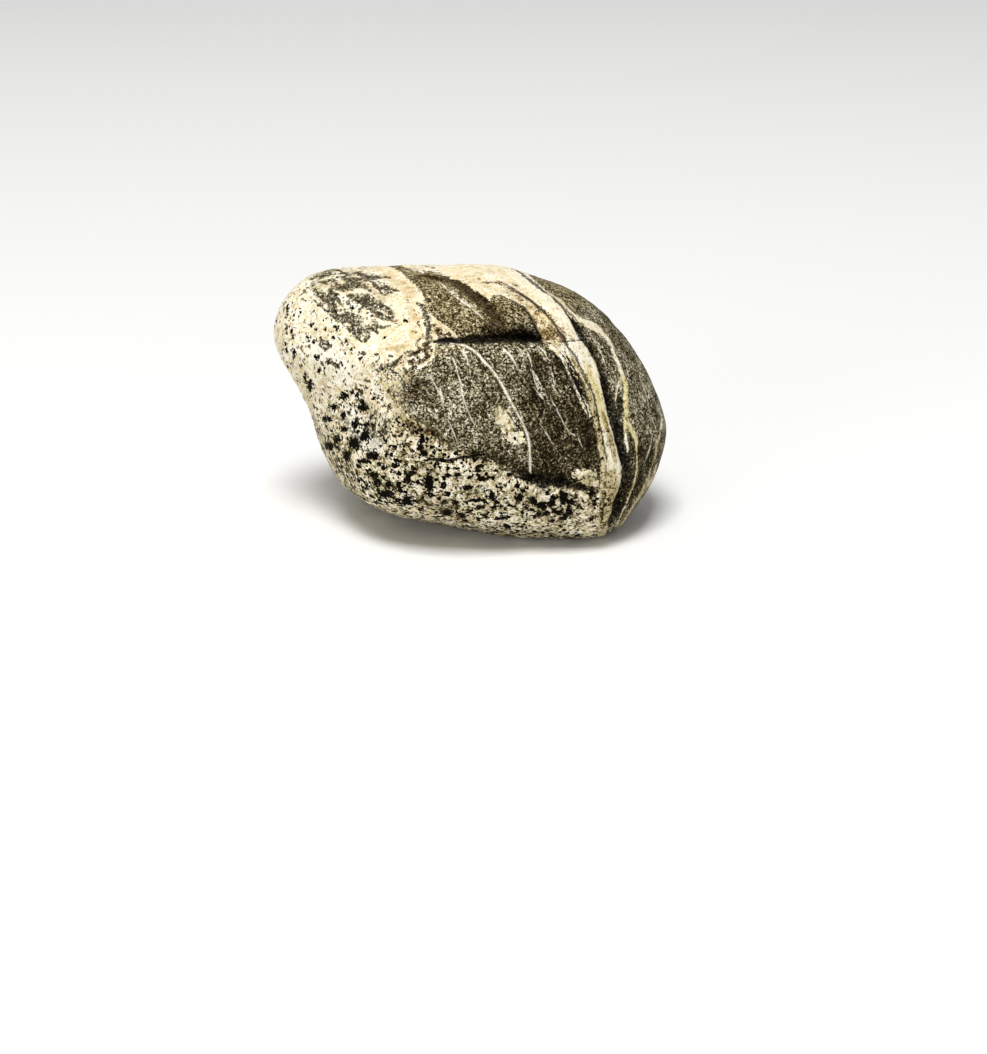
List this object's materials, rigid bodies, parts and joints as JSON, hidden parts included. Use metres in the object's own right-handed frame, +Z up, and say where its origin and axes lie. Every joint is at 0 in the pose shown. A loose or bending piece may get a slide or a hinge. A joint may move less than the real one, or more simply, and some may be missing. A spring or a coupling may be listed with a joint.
{
  "type": "aquarium decorative rock",
  "caption": "Solid water-worn stone of banded gneiss with a broken ledge across its front, which rests on a flat underside.",
  "frame": {"origin": "on the ground, under the middle of the stone's box", "axes": "+Z up, +X along the stone's length towards its thick end, -Y out of the face with the ledge"},
  "size_m": [0.161, 0.1236, 0.1048],
  "materials": {
    "rock": "water-worn, with dark schist, speckled pale granite and cream veins"
  },
  "bodies": {
    "root": {"rock": "rock"}
  },
  "joints": []
}
